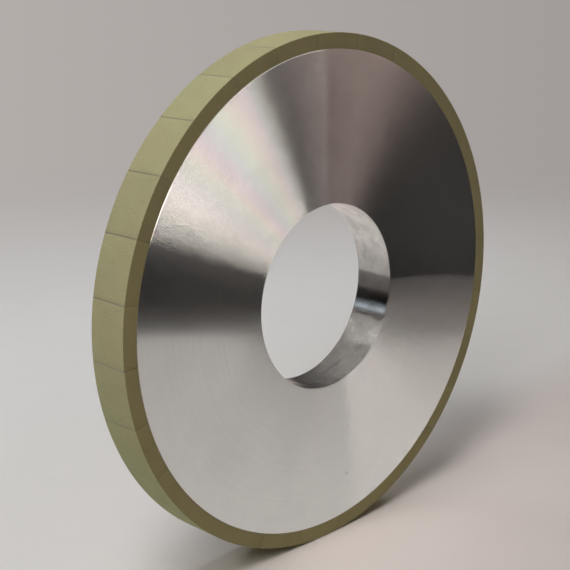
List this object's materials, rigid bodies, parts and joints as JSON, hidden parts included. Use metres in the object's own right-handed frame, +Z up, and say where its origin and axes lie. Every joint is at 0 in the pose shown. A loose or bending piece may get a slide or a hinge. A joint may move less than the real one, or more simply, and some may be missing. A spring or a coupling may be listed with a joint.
{
  "type": "diamond grinding wheel",
  "caption": "Straight grinding wheel that cuts on its rim: vitrified diamond segments glued round a turned aluminium disc, with a plain bore for a flanged spindle.",
  "frame": {"origin": "centre of the wheel: on the bore's axis, midway between the front and back faces", "axes": "+Y along the bore from the front face to the back face, the axis the wheel turns about; +Z up, the wheel standing on its rim; +X to the right seen from the front"},
  "size_m": [0.35, 0.03, 0.35],
  "materials": {
    "core_aluminium": "fine turned, bright, with concentric tool marks",
    "diamond_abrasive": "matt open-grained olive grit, ground true",
    "adhesive": "cured epoxy, dull grey-brown"
  },
  "bodies": {
    "root": {"aluminium_core": "core_aluminium", "adhesive_bond": "adhesive", "diamond_segment_01": "diamond_abrasive", "diamond_segment_02": "diamond_abrasive", "diamond_segment_03": "diamond_abrasive", "diamond_segment_04": "diamond_abrasive", "diamond_segment_05": "diamond_abrasive", "diamond_segment_06": "diamond_abrasive", "diamond_segment_07": "diamond_abrasive", "diamond_segment_08": "diamond_abrasive", "diamond_segment_09": "diamond_abrasive", "diamond_segment_10": "diamond_abrasive", "diamond_segment_11": "diamond_abrasive", "diamond_segment_12": "diamond_abrasive", "diamond_segment_13": "diamond_abrasive", "diamond_segment_14": "diamond_abrasive", "diamond_segment_15": "diamond_abrasive", "diamond_segment_16": "diamond_abrasive", "diamond_segment_17": "diamond_abrasive", "diamond_segment_18": "diamond_abrasive", "diamond_segment_19": "diamond_abrasive", "diamond_segment_20": "diamond_abrasive", "diamond_segment_21": "diamond_abrasive", "diamond_segment_22": "diamond_abrasive", "diamond_segment_23": "diamond_abrasive", "diamond_segment_24": "diamond_abrasive", "diamond_segment_25": "diamond_abrasive", "diamond_segment_26": "diamond_abrasive", "diamond_segment_27": "diamond_abrasive", "diamond_segment_28": "diamond_abrasive"}
  },
  "joints": []
}
